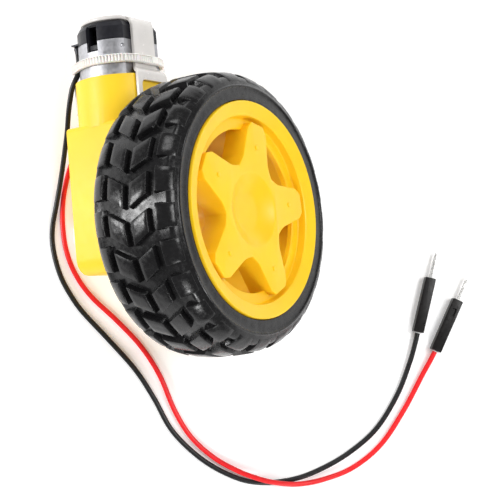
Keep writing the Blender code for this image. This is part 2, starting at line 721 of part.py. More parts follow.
def spoke_outline():
    """A five-armed star: round valleys between arms, and arms with flattened tips."""
    valley = 11.3
    edge = ((10.0, 5.9), (11.6, 4.9), (19.2, 3.5), (21.1, 2.1))
    points = []
    for spoke in range(SPOKES):
        middle = SPOKE_TURN + 2 * math.pi * spoke / SPOKES
        points.append(polar(valley, middle - math.pi / SPOKES))
        points += [turned_point(x, -y, middle) for x, y in edge]
        points += [turned_point(x, y, middle) for x, y in reversed(edge)]
    return points


def add_wheel():
    lip = RIM_OUTER_FACE
    profile = [
        (22.5, lip),
        (RIM_RADIUS - 0.2, lip),
        (RIM_RADIUS, lip - 0.3),
        (RIM_RADIUS, lip - 1.4),
        (23.3, lip - 1.8),
        (23.3, RIM_INNER_FACE + 1.8),
        (RIM_RADIUS, RIM_INNER_FACE + 1.4),
        (RIM_RADIUS, RIM_INNER_FACE),
        (22.0, RIM_INNER_FACE),
        (21.6, lip - 4.6),
        (19.5, lip - 4.6),
        (19.5, lip - 3.1),
        (22.2, lip - 3.1),
    ]
    rim = add_part("wheel_rim", turned(profile, 60, ring=True), YELLOW, ALONG_AXLE, AXLE, 30)
    join(rim, plate([spoke_outline()], lip - 7.5, lip - 1.0), ALONG_AXLE)
    join(rim, rod(4.9, HUB_FROM, lip - 6.0, 32), ALONG_AXLE)
    dish = [(0, lip), (9.1, lip - 0.6), (8.5, lip - 1.0), (4.5, lip - 3.3), (0, lip - 3.3)]
    cut(rim, turned(dish, 40), ALONG_AXLE)
    # The keyed bore is a slot with round ends, so that it turns with the shaft's flats.
    bore = flatted_circle(SHAFT_RADIUS + RUN, SHAFT_FLAT + RUN, 10)
    cut(rim, plate([bore], SHAFT_FLAT_FROM + 0.2, SHAFT_HALF_LONG + 0.5), ALONG_AXLE)
    cut(rim, rod(SHAFT_RADIUS + RUN, HUB_FROM - 1, SHAFT_FLAT_FROM + 0.4, 32), ALONG_AXLE)

    # The tyre: a rounded tread outside, and inside the rim's own outline with a small gap.
    gap = 0.15
    profile = [(RIM_RADIUS + gap, lip - 1.4)]
    profile += [(radius, TYRE_MIDDLE + off) for off, radius in reversed(TYRE_ROUNDING)]
    profile += [(radius, TYRE_MIDDLE - off) for off, radius in TYRE_ROUNDING[1:]]
    profile += [
        (RIM_RADIUS + gap, RIM_INNER_FACE + 1.6),
        (23.3 + gap, RIM_INNER_FACE + 2.1),
        (23.3 + gap, lip - 2.1),
        (RIM_RADIUS + gap, lip - 1.65),
    ]
    add_part("tyre", turned(profile, 64, ring=True), RUBBER, ALONG_AXLE, AXLE, 30)


def add_strap():
    """A cap over the motor's end, and two legs that hook on the collar."""
    cap_from = MOTOR_TO + SEAM
    cap_to = cap_from + STRAP_THICK
    leg_in = CAN_FLAT + SEAM
    leg_out = leg_in + STRAP_THICK
    loop_in = BLOCK_HALF_THICK + SEAM
    loop_out = loop_in + STRAP_THICK
    half = STRAP_HALF_WIDE
    wide = STRAP_LOOP_HALF_WIDE
    cap = [
        (cap_from, can_outline(0.9)),
        (cap_to - 0.4, can_outline(0.9)),
        (cap_to, can_outline(1.4)),
    ]
    strap = add_part("retaining_strap", stacked(cap), CLEAR, ALONG_MOTOR, smooth=30)
    for side in (-1, 1):
        leg = sorted((side * leg_in, side * leg_out))
        join(strap, box((leg[0], 38.0, -half), (leg[1], cap_to - 0.3, half)))
        bridge = sorted((side * (CAN_FLAT - 2.0), side * leg_out))
        join(strap, box((bridge[0], cap_from, -half), (bridge[1], cap_to - 0.1, half)))
        step = sorted((side * leg_in, side * loop_out))
        join(strap, box((step[0], COLLAR_TOP + SEAM, -wide), (step[1], 38.6, wide)))
        loop = sorted((side * loop_in, side * loop_out))
        join(strap, box((loop[0], 29.4, -wide), (loop[1], 38.4, wide)))
        window = sorted((side * (loop_in - 1), side * (loop_out + 1)))
        low, high = (window[0], HOOK_FROM - SEAM, -3.6), (window[1], 35.6, 3.6)
        cut(strap, box(low, high))


def tie_outline(gap):
    """The taut line round the can, the strap's legs and both leads, this far outside them."""
    corner = math.sqrt(CAN_RADIUS**2 - CAN_FLAT**2)
    leg = CAN_FLAT + SEAM + STRAP_THICK
    held = [(side * LEAD_PLACE[0], LEAD_PLACE[1], LEAD_RADIUS) for side in (-1, 1)]
    for side in (-1, 1):
        held += [(side * corner, CAN_FLAT, 0), (side * corner, -CAN_FLAT, 0)]
        held += [(side * STRAP_HALF_WIDE, leg, 0), (side * STRAP_HALF_WIDE, -leg, 0)]
    points = []
    for i in range(TIE_STEPS):
        across, outward = polar(1, 2 * math.pi * i / TIE_STEPS)
        on_round = abs(outward) * CAN_RADIUS <= CAN_FLAT
        pieces = held + [(0, 0, CAN_RADIUS)] if on_round else held
        reaches = [x * across + y * outward + radius for x, y, radius in pieces]
        x, y, radius = pieces[reaches.index(max(reaches))]
        points.append((x + (radius + gap) * across, y + (radius + gap) * outward))
    return points


def add_cable_tie():
    outer = tie_outline(TIE_GAP + TIE_THICK)
    inner = tie_outline(TIE_GAP)[::-1]
    band = plate([outer, inner], TIE_FROM, TIE_TO)
    tie = add_part("cable_tie", band, WHITE, ALONG_MOTOR, smooth=30)
    # The head, and the end of the tail cut off close to it.
    middle = (TIE_FROM + TIE_TO) / 2
    join(tie, box((-0.7, middle - 2.2, -14.2), (3.7, middle + 2.2, -10.9)))
    join(tie, box((0.9, TIE_FROM + 0.05, -16.4), (2.0, TIE_TO - 0.05, -13.9)))


def smooth_route(route):
    """Points about ROUTE_STEP apart on a Catmull-Rom curve through the route's points."""
    points = [Vector(p) for p in route]
    ends = [points[0] * 2 - points[1], *points, points[-1] * 2 - points[-2]]
    path = [points[0]]
    for before, start, end, after in zip(ends, ends[1:], ends[2:], ends[3:]):
        pieces = max(1, round((end - start).length / ROUTE_STEP))
        for i in range(1, pieces + 1):
            t = i / pieces
            path.append(
                0.5
                * (
                    2 * start
                    + (end - before) * t
                    + (2 * before - 5 * start + 4 * end - after) * t**2
                    + (3 * start - before - 3 * end + after) * t**3
                )
            )
    return path


def add_lead(name, route, material):
    curve = bpy.data.curves.new(name, "CURVE")
    curve.dimensions = "3D"
    curve.bevel_depth = LEAD_RADIUS * MM
    curve.bevel_resolution = 2
    curve.use_fill_caps = True
    path = smooth_route(route)
    spline = curve.splines.new("POLY")
    spline.points.add(len(path) - 1)
    for point, place in zip(spline.points, path):
        point.co = (*(place * MM), 1)
    lead = bpy.data.objects.new(name, curve)
    PARTS.objects.link(lead)
    lead.parent = TABLE
    curve.materials.append(material)


def add_connector(colour, route, aim):
    """A housing that starts just past the lead's end, and the pin in it."""
    turn = Matrix.Rotation(math.atan2(aim[1], aim[0]), 4, "Z")
    along = Matrix.Translation(Vector((route[-1][0], route[-1][1], 0)) * MM) @ turn
    low, start, half = 0.05, 0.3, HOUSING_WIDE / 2
    block = box((start, -half, low), (start + HOUSING_LONG, half, low + HOUSING_HIGH))
    housing = add_part(f"{colour}_connector", block, BLACK, along, TABLE)
    bevel = housing.modifiers.new("edges", "BEVEL")
    bevel.width = 0.2 * MM
    bevel.segments = 1
    middle = low + HOUSING_HIGH / 2
    bore = PIN_WIDE / 2 + FIT
    pin_from = start + HOUSING_LONG - PIN_INSIDE
    near, far = (pin_from - 0.3, -bore, middle - bore), (start + 20, bore, middle + bore)
    cut(housing, box(near, far), along)
    half = PIN_WIDE / 2
    tip = pin_from + PIN_LONG
    square = [(-half, -half), (half, -half), (half, half), (-half, half)]
    levels = [
        (pin_from, square),
        (tip - 0.9, square),
        (tip, [(x * 0.4, y * 0.4) for x, y in square]),
    ]
    lengthwise = along @ Matrix.Translation((0, 0, middle * MM)) @ Matrix.Rotation(math.pi / 2, 4, "Y")
    add_part(f"{colour}_connector_pin", stacked(levels), STEEL, lengthwise, TABLE)


def centre_on_origin():
    """Moves the object so that its box, without the leads and connectors, is centred over the origin."""
    bpy.context.view_layer.update()
    graph = bpy.context.evaluated_depsgraph_get()
    corners = []
    for part in PARTS.objects:
        if part.type != "MESH" or part.parent == TABLE:
            continue
        solid = part.evaluated_get(graph)
        corners += [solid.matrix_world @ vertex.co for vertex in solid.data.vertices]
    for axis in (0, 1):
        values = [corner[axis] for corner in corners]
        shift = round(-(min(values) + max(values)) / 2, 5)
        ASSEMBLY.location[axis] = shift
        TABLE.location[axis] = shift


add_gearbox()
add_screws()
add_motor_body()
add_magnets()
add_terminals()
add_rotor()
add_gears()
add_output_shaft()
add_wheel()
add_strap()
add_cable_tie()
add_lead("black_lead", BLACK_ROUTE, BLACK)
add_lead("red_lead", RED_ROUTE, RED)
add_connector("black", BLACK_ROUTE, BLACK_HOUSING_AIM)
add_connector("red", RED_ROUTE, RED_HOUSING_AIM)
centre_on_origin()
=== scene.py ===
"""Looks of a gear motor with its wheel, cable tie and leads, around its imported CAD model.

Sizes are in millimetres and are multiplied by MM where meshes are made. In the leaning frame,
X runs along the axle towards the wheel, Y from the axle towards the motor, and Z out of the
gearbox's narrow face.
"""

import json
import math

import bmesh
import bpy
from mathutils import Matrix, Vector


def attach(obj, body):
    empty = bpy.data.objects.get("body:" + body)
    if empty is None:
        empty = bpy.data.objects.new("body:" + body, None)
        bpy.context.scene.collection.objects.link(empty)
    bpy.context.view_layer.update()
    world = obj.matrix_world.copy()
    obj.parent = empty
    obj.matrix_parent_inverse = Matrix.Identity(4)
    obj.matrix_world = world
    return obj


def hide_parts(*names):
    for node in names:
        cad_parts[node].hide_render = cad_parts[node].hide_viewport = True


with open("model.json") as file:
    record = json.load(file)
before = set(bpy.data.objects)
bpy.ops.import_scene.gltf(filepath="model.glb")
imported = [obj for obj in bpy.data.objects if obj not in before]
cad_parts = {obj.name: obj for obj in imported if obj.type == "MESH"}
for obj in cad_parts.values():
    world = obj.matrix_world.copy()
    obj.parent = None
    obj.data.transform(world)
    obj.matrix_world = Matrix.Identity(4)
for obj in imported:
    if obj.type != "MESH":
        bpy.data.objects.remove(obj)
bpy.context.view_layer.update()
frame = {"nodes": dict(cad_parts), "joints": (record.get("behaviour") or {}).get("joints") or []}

MM = 0.001

# The leaning frame, from the wheel's joint.
SPIN = next(joint for joint in frame["joints"] if joint["name"] == "wheel_spin")
AXLE = Vector(SPIN["pos_m"])
ALONG = Vector(SPIN["axis"]).normalized()
UPRIGHT = Vector((0, 1, 0))
OUTWARD = ALONG.cross(UPRIGHT)
LEANING = Matrix.Translation(AXLE) @ Matrix((ALONG, UPRIGHT, OUTWARD)).transposed().to_4x4()
TABLE = Matrix.Translation((AXLE.x, AXLE.y, 0))

# Axes of a flat outline, and of the direction in which it is thickened.
ALONG_AXLE = Matrix(((0, 0, 1), (1, 0, 0), (0, 1, 0))).to_4x4()
ALONG_MOTOR = Matrix(((0, 1, 0), (0, 0, 1), (1, 0, 0))).to_4x4()

# Leads: their routes on the table, from the point under the axle's middle.
LEAD_RADIUS = 0.675
LEAD_PLACE = (5.75, -8.47)
BLACK_ROUTE = (
    (-10.15, 46.5, 13.6),
    (-10.1, 44.3, 13.6),
    (-10.1, 42.3, 13.6),
    (-10.25, 40.5, 13.75),
    (-11.2, 38.7, 13.85),
    (-12.3, 36.6, 13.1),
    (-13.2, 33.5, 11.9),
    (-13.9, 30.4, 10.5),
    (-14.6, 26.6, 8.4),
    (-15.8, 21.6, 5.8),
    (-17.5, 14.8, 3.0),
    (-19.2, 8.6, 1.3),
    (-20.6, 3.3, 0.75),
    (-21.0, -1.0, 0.72),
    (-20.6, -5.4, 0.72),
    (-19.4, -10.5, 0.72),
    (-17.3, -15.3, 0.72),
    (-14.6, -19.8, 0.72),
    (-8.7, -27.3, 0.72),
    (-2.3, -35.8, 0.72),
    (2.0, -43.7, 0.72),
    (6.2, -52.8, 0.72),
    (13.3, -60.8, 0.72),
    (21.3, -66.1, 0.72),
    (28.1, -68.2, 0.72),
    (35.9, -68.2, 0.72),
    (42.9, -66.6, 0.72),
    (51.3, -63.0, 0.72),
    (59.6, -57.2, 0.72),
    (66.1, -48.8, 0.72),
    (70.3, -40.4, 1.0),
    (72.2, -35.4, 1.3),
    (73.0, -32.9, 1.35),
)
RED_ROUTE = (
    (-2.9, 46.5, 4.75),
    (-2.95, 44.3, 4.85),
    (-2.95, 42.3, 4.95),
    (-2.8, 40.5, 4.72),
    (-2.75, 38.7, 3.8),
    (-3.6, 36.7, 2.8),
    (-5.2, 33.5, 1.6),
    (-7.2, 30.4, 0.85),
    (-9.6, 27.4, 0.76),
    (-12.6, 23.0, 0.72),
    (-15.0, 18.0, 0.72),
    (-16.6, 13.2, 0.72),
    (-17.6, 8.4, 0.72),
    (-18.0, 2.8, 0.72),
    (-17.6, -3.4, 0.72),
    (-15.8, -9.6, 0.72),
    (-12.2, -15.8, 0.72),
    (-5.8, -23.0, 0.72),
    (-0.2, -30.1, 0.72),
    (4.0, -38.0, 0.72),
    (7.2, -47.6, 0.72),
    (11.0, -54.9, 0.72),
    (16.5, -60.7, 0.8),
    (22.2, -64.5, 1.4),
    (26.1, -66.4, 2.0),
    (30.0, -67.9, 2.15),
    (34.0, -68.9, 2.1),
    (38.0, -69.4, 1.6),
    (44.1, -69.0, 0.78),
    (52.4, -66.7, 0.72),
    (60.5, -61.4, 0.72),
    (67.4, -53.1, 0.72),
    (73.2, -44.3, 0.95),
    (76.0, -40.1, 1.3),
    (77.2, -38.2, 1.35),
)
BLACK_HOUSING_AIM = (4.76, 14.11)
RED_HOUSING_AIM = (7.46, 13.18)
HOUSING_START, HOUSING_LONG, HOUSING_WIDE, HOUSING_HIGH = 0.3, 14.8, 2.8, 2.7
HOUSING_LOW = 0.05
PIN_FROM, PIN_HALF = 9.1, 0.32

# Tyre: its rounding is (distance from its middle, radius), along the tops of the tread blocks.
TYRE_MIDDLE = 26.1
TYRE_ROUNDING = (
    (0.0, 33.9),
    (4.0, 33.8),
    (7.0, 33.4),
    (9.0, 32.8),
    (10.3, 32.0),
    (11.1, 31.2),
    (11.7, 30.0),
    (12.0, 29.0),
)
TREAD_PITCHES = 25
TREAD_MIDDLE = 0.35
TREAD_RADIUS = 33.0
# Blocks, as (arc from the tread's middle, degrees): inner start and end, outer start and end.
CHEVRON = ((1.0, 1.5), (1.0, 10.5), (5.4, 5.9), (5.4, 14.4))
SHOULDER_FROM, SHOULDER_SHORT = 7.5, 1.9
SHOULDER_DEGREES = (6.4, 16.2)
# The grooves' floor ends at this radius and this far from the tyre's middle.
GROOVE_FOOT, GROOVE_REACH = 29.62, 11.8
# The seat of the tyre round the rim's channel.
SEAT_GAP = 0.1

# Wheel rim.
RIM_RADIUS = 25.85
RIM_OUTER = 38.4
RIM_INNER = 13.0
CHANNEL_RADIUS = 23.3
SPOKES = 5
SPOKE_TURN = math.radians(-12)
STAR_VALLEY = 11.4
SPOKE_EDGE = ((10.7, 5.7), (12.0, 5.1), (19.4, 3.75), (21.1, 2.3))
STAR_LOW, STAR_TOP = 7.5, 1.0
PIP_RADIUS, PIP_HIGH, PIP_OUT = 0.6, 0.26, 15.3
HUB_RADIUS, HUB_FROM, HUB_TOP = 4.9, 10.4, 6.0

# Motor, strap and tie.
CAN_RADIUS, CAN_FLAT = 10.0, 7.55
CRIMP_ALONG = 44.4
SLOT_HALF, SLOT_FROM, SLOT_TO, SLOT_MIDDLE, SLOT_DEEP = 1.5, 45.4, 50.0, 8.5, 2.0
TIE_FROM, TIE_TO, TIE_THICK, TIE_GAP = 40.05, 42.15, 1.0, 0.27
TIE_RIBS, TIE_PLAIN = 84, range(22, 25)
RIB_HEIGHTS = (0.68, 1.0, 1.0, 0.68, 0.3, 0.3)
TIE_STEPS = 720
STRAP_LEG_HALF, STRAP_LEG_REACH, STRAP_THICK = 4.1, 8.7, 1.0


# Materials -----------------------------------------------------------------------------------
class Shader:
    """A Principled material whose base colour, roughness and bump come from procedural noise."""

    def __init__(self, name, colour, roughness, metallic=0.0):
        self.material = bpy.data.materials.new(name)
        self.material.use_nodes = True
        self.nodes = self.material.node_tree.nodes
        self.links = self.material.node_tree.links
        self.surface = self.nodes["Principled BSDF"]
        self.colour = colour
        self.roughness = roughness
        self.material.diffuse_color = (*colour, 1)
        self.set("Base Color", (*colour, 1))
        self.set("Roughness", roughness)
        self.set("Metallic", metallic)
        self.place = self.nodes.new("ShaderNodeTexCoord").outputs["Object"]
        self.normal = None

    def set(self, socket, value):
        """Sets a socket of the surface to one value."""
        self.surface.inputs[socket].default_value = value

    def add(self, kind, **inputs):
        """A new node with these inputs, whose underscores stand for spaces."""
        node = self.nodes.new(kind)
        for socket, value in inputs.items():
            node.inputs[socket.replace("_", " ")].default_value = value
        return node

    def noise(self, scale, detail=3.0, rough=0.5, stretch=None):
        """Noise with this many features per millimetre, stretched by three factors if given."""
        node = self.add("ShaderNodeTexNoise", Scale=scale / MM, Detail=detail, Roughness=rough)
        place = self.place
        if stretch:
            mapping = self.add("ShaderNodeMapping", Scale=stretch)
            self.links.new(place, mapping.inputs["Vector"])
            place = mapping.outputs["Vector"]
        self.links.new(place, node.inputs["Vector"])
        return node.outputs["Fac"]

    def ranged(self, value, low, high, start=0.3, end=0.7):
        """Maps a noise's usual range to this one."""
        node = self.add("ShaderNodeMapRange", From_Min=start, From_Max=end, To_Min=low, To_Max=high)
        self.links.new(value, node.inputs["Value"])
        return node.outputs["Result"]

    def vary_roughness(self, scale, spread, **how):
        """Lets the roughness wander by this much either way."""
        low, high = self.roughness - spread, self.roughness + spread
        value = self.ranged(self.noise(scale, **how), low, high)
        self.links.new(value, self.surface.inputs["Roughness"])
        return self

    def vary_colour(self, scale, dark, light, **how):
        """Mottles the base colour between two multiples of it."""
        mix = self.nodes.new("ShaderNodeMix")
        mix.data_type = "RGBA"
        mix.inputs[6].default_value = (*(c * dark for c in self.colour), 1)
        mix.inputs[7].default_value = (*(min(1, c * light) for c in self.colour), 1)
        self.links.new(self.ranged(self.noise(scale, **how), 0, 1), mix.inputs[0])
        self.links.new(mix.outputs[2], self.surface.inputs["Base Color"])
        return self

    def bump(self, scale, height, **how):
        """Adds bumps of this many millimetres on top of the earlier ones."""
        node = self.add("ShaderNodeBump", Strength=1.0, Distance=height * MM)
        self.links.new(self.noise(scale, **how), node.inputs["Height"])
        if self.normal:
            self.links.new(self.normal, node.inputs["Normal"])
        self.normal = node.outputs["Normal"]
        self.links.new(self.normal, self.surface.inputs["Normal"])
        return self


def yellow_plastic():
    made = Shader("moulded_yellow", (0.9, 0.55, 0.01), 0.4)
    made.vary_colour(0.12, 0.96, 1.03).vary_roughness(0.6, 0.05)
    made.bump(0.15, 0.05, detail=1.0).bump(6.0, 0.004)
    made.set("Subsurface Weight", 0.3)
    made.set("Subsurface Scale", 2.0 * MM)
    made.set("Subsurface Radius", (1.0, 0.5, 0.08))
    made.set("Specular IOR Level", 0.35)
    return made.material


def gearbox_plastic():
    made = Shader("moulded_yellow_gearbox", (0.9, 0.6, 0.02), 0.42)
    made.vary_colour(0.12, 0.96, 1.03).vary_roughness(0.6, 0.05)
    made.bump(0.15, 0.05, detail=1.0).bump(6.0, 0.005)
    made.set("Subsurface Weight", 0.08)
    made.set("Subsurface Scale", 0.8 * MM)
    made.set("Subsurface Radius", (1.0, 0.6, 0.1))
    made.set("Specular IOR Level", 0.35)
    return made.material


def tread_rubber():
    made = Shader("tread_rubber", (0.006, 0.0058, 0.0062), 0.24)
    made.vary_colour(0.3, 0.8, 1.3, detail=2.0).vary_roughness(1.2, 0.1)
    made.bump(0.35, 0.12, detail=1.0).bump(6.0, 0.012, detail=3.0)
    made.set("Specular IOR Level", 0.32)
    return made.material


def groove_rubber():
    made = Shader("groove_rubber", (0.005, 0.005, 0.0055), 0.25)
    made.vary_colour(1.2, 0.6, 1.5).vary_roughness(2.0, 0.12)
    made.bump(1.0, 0.1).bump(3.2, 0.12, detail=4.0, rough=0.6)
    made.set("Specular IOR Level", 0.32)
    return made.material


def sidewall_rubber():
    made = Shader("sidewall_rubber", (0.019, 0.0172, 0.0198), 0.42)
    made.vary_colour(0.4, 0.85, 1.15).vary_roughness(1.0, 0.08)
    made.bump(4.0, 0.008, detail=4.0)
    made.set("Specular IOR Level", 0.32)
    return made.material


def plated_can():
    made = Shader("plated_can", (0.42, 0.42, 0.44), 0.46, 1.0)
    made.vary_colour(0.9, 0.86, 1.1, detail=5.0).vary_roughness(1.4, 0.1, detail=4.0)
    made.bump(2.2, 0.02, detail=5.0)
    return made.material


def plated_steel():
    made = Shader("plated_steel", (0.62, 0.62, 0.63), 0.3, 1.0)
    made.vary_colour(1.5, 0.9, 1.08).vary_roughness(2.0, 0.08).bump(4.0, 0.01)
    return made.material


def sintered_bronze():
    made = Shader("sintered_bronze", (0.5, 0.34, 0.18), 0.5, 1.0)
    made.vary_colour(3.0, 0.8, 1.15).vary_roughness(3.0, 0.1).bump(6.0, 0.02)
    return made.material


def dull_ferrite():
    made = Shader("dull_ferrite", (0.07, 0.07, 0.075), 0.65)
    made.vary_colour(1.5, 0.8, 1.3).vary_roughness(2.0, 0.08).bump(3.0, 0.03)
    return made.material


def wound_copper():
    made = Shader("wound_copper", (0.7, 0.33, 0.16), 0.28, 1.0)
    made.vary_colour(2.0, 0.85, 1.1).vary_roughness(3.0, 0.08).bump(3.5, 0.03, stretch=(1, 0.1, 1))
    return made.material


def gear_nylon():
    made = Shader("gear_nylon", (0.86, 0.84, 0.79), 0.38)
    made.vary_colour(0.6, 0.96, 1.03).vary_roughness(1.5, 0.06).bump(5.0, 0.006)
    made.set("Subsurface Weight", 0.1)
    made.set("Subsurface Scale", 1.0 * MM)
    return made.material


def tie_nylon():
    made = Shader("tie_nylon", (0.9, 0.88, 0.85), 0.3)
    made.vary_colour(0.5, 0.96, 1.04).vary_roughness(1.5, 0.06).bump(3.0, 0.012)
    made.set("Subsurface Weight", 0.15)
    made.set("Subsurface Scale", 1.0 * MM)
    return made.material


def milky_plastic():
    made = Shader("milky_plastic", (0.78, 0.75, 0.72), 0.22)
    made.vary_colour(0.25, 0.95, 1.04).vary_roughness(0.8, 0.06)
    made.bump(0.3, 0.05, detail=2.0)
    made.set("Transmission Weight", 0.18)
    made.set("IOR", 1.49)
    return made.material


def bell_plastic():
    made = Shader("bell_plastic", (0.012, 0.012, 0.016), 0.36)
    made.vary_colour(0.7, 0.8, 1.3).vary_roughness(1.0, 0.08).bump(0.8, 0.04).bump(5.0, 0.01)
    made.set("Specular IOR Level", 0.25)
    return made.material


def housing_plastic():
    made = Shader("housing_plastic", (0.009, 0.008, 0.008), 0.34)
    made.vary_colour(0.5, 0.8, 1.25).vary_roughness(1.0, 0.08).bump(0.7, 0.04).bump(5.0, 0.008)
    made.set("Specular IOR Level", 0.2)
    return made.material


def insulation(name, colour):
    made = Shader(name, colour, 0.32)
    made.vary_colour(0.4, 0.92, 1.06).vary_roughness(0.8, 0.06).bump(1.2, 0.02).bump(5.0, 0.004)
    made.set("Specular IOR Level", 0.3)
    return made.material


def bright_pin():
    made = Shader("bright_pin", (0.78, 0.77, 0.75), 0.16, 1.0)
    made.vary_colour(0.8, 0.96, 1.02).vary_roughness(1.0, 0.03).bump(1.0, 0.002)
    return made.material


def solder():
    made = Shader("solder", (0.05, 0.05, 0.055), 0.45, 1.0)
    made.vary_colour(1.5, 0.8, 1.1).vary_roughness(2.0, 0.1).bump(1.5, 0.05)
    return made.material


YELLOW = yellow_plastic()
GEARBOX = gearbox_plastic()
TREAD = tread_rubber()
GROOVE = groove_rubber()
SIDEWALL = sidewall_rubber()
CAN = plated_can()
STEEL = plated_steel()
BRONZE = sintered_bronze()
FERRITE = dull_ferrite()
COPPER = wound_copper()
NYLON = gear_nylon()
TIE = tie_nylon()
MILKY = milky_plastic()
BELL = bell_plastic()
HOUSING = housing_plastic()
BLACK_SKIN = insulation("black_insulation", (0.014, 0.014, 0.015))
RED_SKIN = insulation("red_insulation", (0.78, 0.018, 0.022))
PIN = bright_pin()
SOLDER = solder()


# Meshes --------------------------------------------------------------------------------------
def finished(builder, smooth=30):
    """Mesh in metres of a bmesh in millimetres, smooth but for edges sharper than this."""
    bmesh.ops.remove_doubles(builder, verts=builder.verts, dist=1e-4)
    bmesh.ops.recalc_face_normals(builder, faces=builder.faces)
    bmesh.ops.transform(builder, matrix=Matrix.Scale(MM, 4), verts=builder.verts)
    mesh = bpy.data.meshes.new("shape")
    builder.to_mesh(mesh)
    builder.free()
    mesh.shade_smooth()
    mesh.set_sharp_from_angle(angle=math.radians(smooth))
    return mesh


def evaluated(data, modifiers=()):
    """Mesh of a temporary object with this data and these modifiers."""
    holder = bpy.data.objects.new("holder", data)
    bpy.context.scene.collection.objects.link(holder)
    for kind, settings in modifiers:
        modifier = holder.modifiers.new(kind.lower(), kind)
        for setting, value in settings.items():
            setattr(modifier, setting, value)
    graph = bpy.context.evaluated_depsgraph_get()
    mesh = bpy.data.meshes.new_from_object(holder.evaluated_get(graph))
    bpy.data.objects.remove(holder, do_unlink=True)
    return mesh


def turned(profile, steps=96, ring=False):
    """A closed or axis-to-axis profile of (radius, height) points, turned about local Z."""
    builder = bmesh.new()
    rings = []
    for radius, height in profile:
        if radius < 1e-6:
            rings.append([builder.verts.new((0, 0, height))] * steps)
            continue
        turns = [2 * math.pi * i / steps for i in range(steps)]
        rings.append(
            [
                builder.verts.new((radius * math.cos(t), radius * math.sin(t), height))
                for t in turns
            ]
        )
    pairs = list(zip(rings, rings[1:]))
    if ring:
        pairs.append((rings[-1], rings[0]))
    for one, other in pairs:
        for i in range(steps):
            j = (i + 1) % steps
            corners = list(dict.fromkeys((one[i], one[j], other[j], other[i])))
            if len(corners) > 2:
                builder.faces.new(corners)
    return finished(builder)


def plate(outline, low, high, edge=0.0):
    """A flat outline, thick along local Z, its edges rounded if an edge radius is given."""
    curve = bpy.data.curves.new("outline", "CURVE")
    curve.dimensions = "2D"
    curve.fill_mode = "BOTH"
    curve.extrude = (high - low) / 2 - edge
    curve.bevel_depth = edge
    curve.bevel_resolution = 2
    curve.offset = -edge
    spline = curve.splines.new("POLY")
    spline.points.add(len(outline) - 1)
    for point, (x, y) in zip(spline.points, outline):
        point.co = (x, y, 0, 1)
    spline.use_cyclic_u = True
    builder = bmesh.new()
    builder.from_mesh(evaluated(curve))
    bmesh.ops.translate(builder, vec=(0, 0, (high + low) / 2), verts=builder.verts)
    return finished(builder)


def box(low, high, edge=0.0):
    """A block between two corners, its edges rounded if an edge radius is given."""
    builder = bmesh.new()
    bmesh.ops.create_cube(builder, size=1)
    low, high = Vector(low), Vector(high)
    bmesh.ops.scale(builder, vec=high - low, verts=builder.verts)
    bmesh.ops.translate(builder, vec=(high + low) / 2, verts=builder.verts)
    if edge:
        bmesh.ops.bevel(
            builder,
            geom=builder.edges[:],
            offset=edge,
            segments=3,
            profile=0.5,
            affect="EDGES",
        )
    return finished(builder)


def combined(mesh, steps):
    """The mesh after each (operation, other mesh) in turn."""
    for operation, other in steps:
        tool = bpy.data.objects.new("tool", other)
        bpy.context.scene.collection.objects.link(tool)
        how = {"operation": operation, "solver": "EXACT", "object": tool}
        mesh = evaluated(mesh, [("BOOLEAN", how)])
        bpy.data.objects.remove(tool, do_unlink=True)
    mesh.shade_smooth()
    mesh.set_sharp_from_angle(angle=math.radians(30))
    return mesh


def placed(mesh, axes):
    """The mesh, moved from these axes."""
    mesh.transform(axes)
    return mesh


def add_piece(name, mesh, body, materials, axes=LEANING, replaces=()):
    """A piece whose mesh is moved from these axes into the frame, riding on a body."""
    mesh.transform(axes)
    piece = bpy.data.objects.new(name, mesh)
    bpy.context.scene.collection.objects.link(piece)
    mesh.materials.clear()
    for material in materials:
        mesh.materials.append(material)
    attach(piece, body)
    if replaces:
        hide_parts(*replaces)
    return piece


# Points and outlines, in millimetres ---------------------------------------------------------
def polar(radius, turn):
    """The point at this radius and turn."""
    return radius * math.cos(turn), radius * math.sin(turn)


def turned_point(x, y, turn):
    """The point turned about the origin."""
    return (
        x * math.cos(turn) - y * math.sin(turn),
        x * math.sin(turn) + y * math.cos(turn),
    )


def softened(outline, reach):
    """The outline with a short arc at each corner, which starts this far from it."""
    points = []
    for before, here, after in zip(outline[-1:] + outline, outline, outline[1:] + outline[:1]):
        before, here, after = Vector(before), Vector(here), Vector(after)
        start = here.lerp(before, min(0.4, reach / (before - here).length))
        end = here.lerp(after, min(0.4, reach / (after - here).length))
        for step in range(4):
            t = step / 3
            points.append(tuple(start * (1 - t) ** 2 + here * 2 * t * (1 - t) + end * t**2))
    return points


def smooth_route(route, step=1.0):
    """Points about a step apart on a Catmull-Rom curve through the route's points."""
    points = [Vector(p) for p in route]
    ends = [points[0] * 2 - points[1], *points, points[-1] * 2 - points[-2]]
    path = [points[0]]
    for before, start, end, after in zip(ends, ends[1:], ends[2:], ends[3:]):
        pieces = max(1, round((end - start).length / step))
        for i in range(1, pieces + 1):
            t = i / pieces
            path.append(
                0.5
                * (
                    2 * start
                    + (end - before) * t
                    + (2 * before - 5 * start + 4 * end - after) * t**2
                    + (3 * start - before - 3 * end + after) * t**3
                )
            )
    return path


